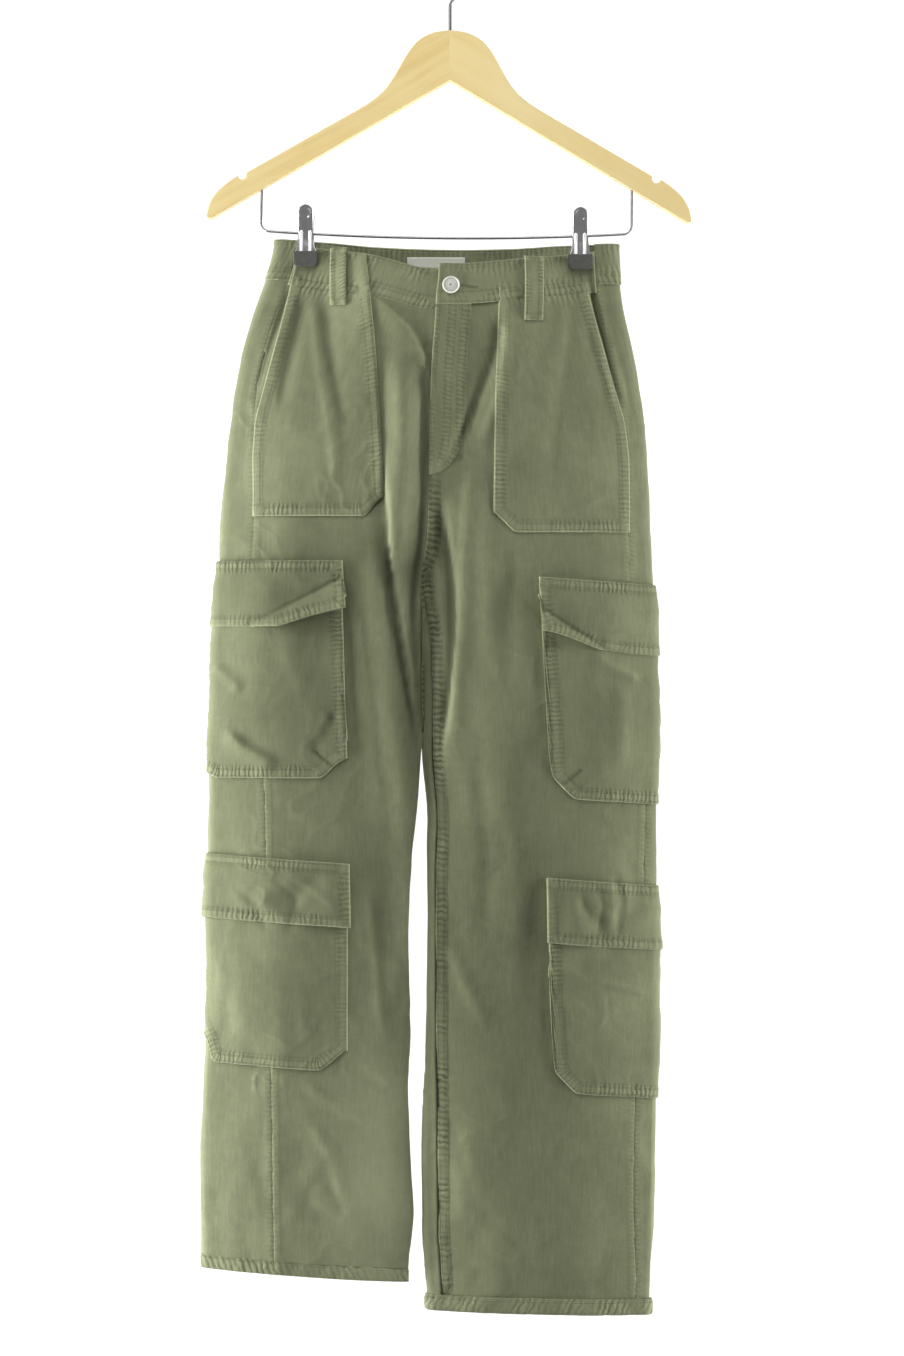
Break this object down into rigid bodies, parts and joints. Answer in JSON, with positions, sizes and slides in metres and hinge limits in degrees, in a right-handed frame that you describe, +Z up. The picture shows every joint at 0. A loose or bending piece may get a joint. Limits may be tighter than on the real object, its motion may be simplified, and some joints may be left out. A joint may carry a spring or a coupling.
{
  "type": "cargo trousers on a clip hanger",
  "caption": "Straight-leg cotton cargo trousers with patch and flapped leg pockets, hanging by the waist from spring clips on the wire bar of a wooden hanger.",
  "frame": {"origin": "inside top of the hanger's hook, where a rail carries it", "axes": "+Z up; +X towards the wearer's left; the front of the trousers faces -Y"},
  "size_m": [0.4573, 0.069, 1.2636],
  "materials": {
    "olive_twill": "washed matt twill",
    "label_tape": "bare woven tape",
    "button_metal": "worn cast metal",
    "pale_wood": "clear satin varnish",
    "chrome_wire": "bright plated wire",
    "chrome_plate": "bright plated sheet",
    "black_rubber": "semi-matt moulded grip"
  },
  "bodies": {
    "root": {"back_left_hip": "olive_twill", "back_left_shin": "olive_twill", "back_left_thigh": "olive_twill", "back_right_hip": "olive_twill", "back_right_shin": "olive_twill", "back_right_thigh": "olive_twill", "belt_loop_back_centre": "olive_twill", "belt_loop_back_left": "olive_twill", "belt_loop_back_right": "olive_twill", "belt_loop_left": "olive_twill", "belt_loop_right": "olive_twill", "button": "button_metal", "cargo_pocket_lower_left": "olive_twill", "cargo_pocket_lower_right": "olive_twill", "cargo_pocket_upper_left": "olive_twill", "cargo_pocket_upper_right": "olive_twill", "clip_left_back": "chrome_plate", "clip_left_front": "chrome_plate", "clip_left_spring": "chrome_plate", "clip_left_tip_back": "black_rubber", "clip_left_tip_front": "black_rubber", "clip_right_back": "chrome_plate", "clip_right_front": "chrome_plate", "clip_right_spring": "chrome_plate", "clip_right_tip_back": "black_rubber", "clip_right_tip_front": "black_rubber", "flap_lower_left": "olive_twill", "flap_lower_right": "olive_twill", "flap_upper_left": "olive_twill", "flap_upper_right": "olive_twill", "fly_placket": "olive_twill", "front_left_hip": "olive_twill", "front_left_shin": "olive_twill", "front_left_thigh": "olive_twill", "front_right_hip": "olive_twill", "front_right_shin": "olive_twill", "front_right_thigh": "olive_twill", "hanger_bar": "chrome_wire", "hanger_hook": "chrome_wire", "hanger_wood": "pale_wood", "hem_left": "olive_twill", "hem_right": "olive_twill", "label": "label_tape", "patch_pocket_left": "olive_twill", "patch_pocket_right": "olive_twill", "waistband_back": "olive_twill", "waistband_left": "olive_twill", "waistband_right": "olive_twill"}
  },
  "joints": []
}
